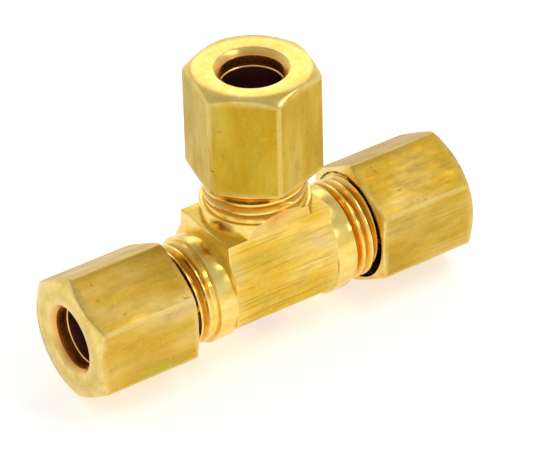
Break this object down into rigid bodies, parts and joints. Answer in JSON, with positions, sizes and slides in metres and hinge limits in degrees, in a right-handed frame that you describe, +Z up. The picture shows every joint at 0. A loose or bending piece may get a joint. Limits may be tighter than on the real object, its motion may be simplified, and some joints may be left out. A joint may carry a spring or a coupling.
{
  "type": "compression fitting",
  "caption": "Brass compression union tee for small tube: a tee body with a threaded port at each end, each closed by a hexagonal nut over a loose sleeve.",
  "frame": {"origin": "the point where the axes of the three ports meet, inside the tee body", "axes": "+X along the run towards the right-hand port, +Z up along the branch port, +Y away from the viewer"},
  "size_m": [0.0471, 0.0142, 0.0316],
  "materials": {
    "body_brass": "extruded sides with fine streaks, turned ports bright",
    "nut_brass": "satin drawn flats, turned ends",
    "sleeve_brass": "bright turned"
  },
  "bodies": {
    "tee_body": {"tee_body": "body_brass"},
    "left_sleeve": {"left_sleeve": "sleeve_brass"},
    "left_nut": {"left_nut": "nut_brass"},
    "right_sleeve": {"right_sleeve": "sleeve_brass"},
    "right_nut": {"right_nut": "nut_brass"},
    "branch_sleeve": {"branch_sleeve": "sleeve_brass"},
    "branch_nut": {"branch_nut": "nut_brass"}
  },
  "joints": [
    {"name": "left_sleeve_slide", "type": "slide", "parent": "tee_body", "child": "left_sleeve", "axis": [-1, 0, 0], "range_m": [-0.00181, 0.00371]},
    {"name": "left_nut_turn", "type": "hinge", "parent": "left_sleeve", "child": "left_nut", "pos_m": [-0.02342, 0, 0], "axis": [-1, 0, 0], "range_deg": [-614, 1260]},
    {"name": "right_sleeve_slide", "type": "slide", "parent": "tee_body", "child": "right_sleeve", "axis": [1, 0, 0], "range_m": [-0.00214, 0.00339]},
    {"name": "right_nut_turn", "type": "hinge", "parent": "right_sleeve", "child": "right_nut", "pos_m": [0.02375, 0, 0], "axis": [1, 0, 0], "range_deg": [-726, 1152]},
    {"name": "branch_sleeve_slide", "type": "slide", "parent": "tee_body", "child": "branch_sleeve", "axis": [0, 0, 1], "range_m": [-0.00267, 0.00286]},
    {"name": "branch_nut_turn", "type": "hinge", "parent": "branch_sleeve", "child": "branch_nut", "pos_m": [0, 0, 0.02428], "axis": [0, 0, 1], "range_deg": [-906, 972]}
  ],
  "couplings": [
    {"joint": "left_sleeve_slide", "follows": "left_nut_turn", "m_per_rad": 0.00016843},
    {"joint": "right_sleeve_slide", "follows": "right_nut_turn", "m_per_rad": 0.00016843},
    {"joint": "branch_sleeve_slide", "follows": "branch_nut_turn", "m_per_rad": 0.00016843}
  ]
}
